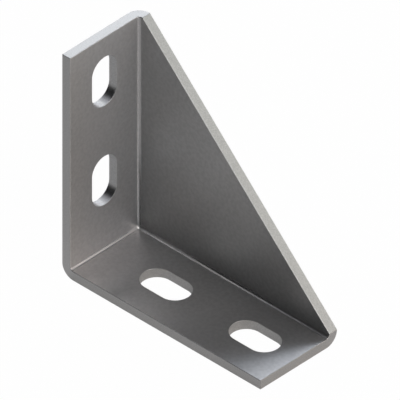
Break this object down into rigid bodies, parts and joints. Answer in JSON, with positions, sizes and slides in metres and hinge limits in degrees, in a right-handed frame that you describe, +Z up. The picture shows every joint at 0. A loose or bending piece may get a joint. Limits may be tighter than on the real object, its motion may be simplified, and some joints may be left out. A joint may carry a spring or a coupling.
{
  "type": "reinforced angle bracket",
  "caption": "Right-angled steel bracket folded from one sheet, with slotted legs and a triangular gusset on one side that stiffens the corner.",
  "frame": {"origin": "middle of the bounding box in X and Y, on the underside of the base leg", "axes": "+X along the base leg from the heel to its end, +Y towards the outer face of the gusset, +Z up along the upright leg"},
  "size_m": [0.1, 0.04, 0.1],
  "materials": {
    "steel": "satin rolled steel with sheared edges"
  },
  "bodies": {
    "root": {"angle_bracket": "steel"}
  },
  "joints": []
}
